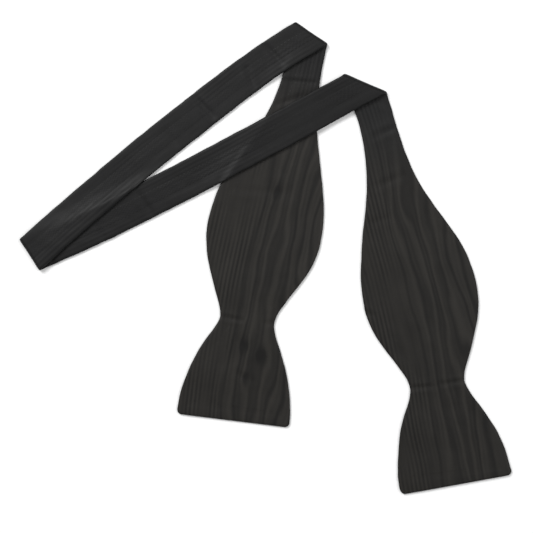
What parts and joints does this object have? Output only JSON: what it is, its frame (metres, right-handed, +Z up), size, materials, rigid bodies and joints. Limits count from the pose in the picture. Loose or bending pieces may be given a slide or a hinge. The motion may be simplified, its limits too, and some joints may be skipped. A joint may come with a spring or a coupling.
{
  "type": "self-tie bow tie",
  "caption": "Untied self-tie bow tie in near-black watered silk, laid flat and folded: two lined blades with waisted tips on one long neck band.",
  "frame": {"origin": "centre of the laid-out tie's box, on the plane it lies on", "axes": "+Z up from the table, +Y towards the fold at the top of the left blade, +X towards the right blade"},
  "size_m": [0.2848, 0.279, 0.0043],
  "materials": {
    "moire_silk": "watered silk, satin sheen",
    "interlining_cloth": "brushed, matte",
    "sewing_thread": "matte"
  },
  "bodies": {
    "left_blade": {"left_blade_back_panel": "moire_silk", "left_blade_edge_seam_thread": "sewing_thread", "left_blade_front_panel": "moire_silk", "left_blade_interlining": "interlining_cloth"},
    "left_band": {"left_band_back_panel": "moire_silk", "left_band_closing_stitches": "sewing_thread", "left_band_edge_seam_thread": "sewing_thread", "left_band_front_panel": "moire_silk", "left_band_interlining": "interlining_cloth", "left_fold_back_panel": "moire_silk", "left_fold_front_panel": "moire_silk", "left_fold_interlining": "interlining_cloth"},
    "right_band": {"centre_back_seam_thread": "sewing_thread", "centre_fold_back_panel": "moire_silk", "centre_fold_front_panel": "moire_silk", "centre_fold_interlining": "interlining_cloth", "left_band_end_back_panel": "moire_silk", "left_band_end_edge_seam_thread": "sewing_thread", "left_band_end_front_panel": "moire_silk", "left_band_end_interlining": "interlining_cloth", "right_band_back_panel": "moire_silk", "right_band_closing_stitches": "sewing_thread", "right_band_edge_seam_thread": "sewing_thread", "right_band_front_panel": "moire_silk", "right_band_interlining": "interlining_cloth"},
    "right_blade": {"right_blade_back_panel": "moire_silk", "right_blade_edge_seam_thread": "sewing_thread", "right_blade_front_panel": "moire_silk", "right_blade_interlining": "interlining_cloth", "right_fold_back_panel": "moire_silk", "right_fold_front_panel": "moire_silk", "right_fold_interlining": "interlining_cloth"}
  },
  "joints": [
    {"name": "left_fold_open", "type": "hinge", "parent": "left_blade", "child": "left_band", "pos_m": [0.02698, 0.13137, 0.00215], "axis": [-0.8276, 0.5614, 0], "range_deg": [0, 180], "deforming": ["left_fold_back_panel", "left_fold_front_panel", "left_fold_interlining"]},
    {"name": "centre_fold_open", "type": "hinge", "parent": "left_band", "child": "right_band", "pos_m": [-0.13479, 0.00462, 0.00215], "axis": [-0.5388, 0.8425, 0], "range_deg": [0, 18], "deforming": ["centre_fold_back_panel", "centre_fold_front_panel", "centre_fold_interlining"]},
    {"name": "right_fold_open", "type": "hinge", "parent": "right_band", "child": "right_blade", "pos_m": [0.05914, 0.10171, 0.00215], "axis": [0.9081, -0.4187, 0], "range_deg": [0, 180], "deforming": ["right_fold_back_panel", "right_fold_front_panel", "right_fold_interlining"]}
  ],
  "couplings": [
    {"joint": "centre_fold_open", "follows": "left_fold_open", "ratio": 0.1}
  ]
}
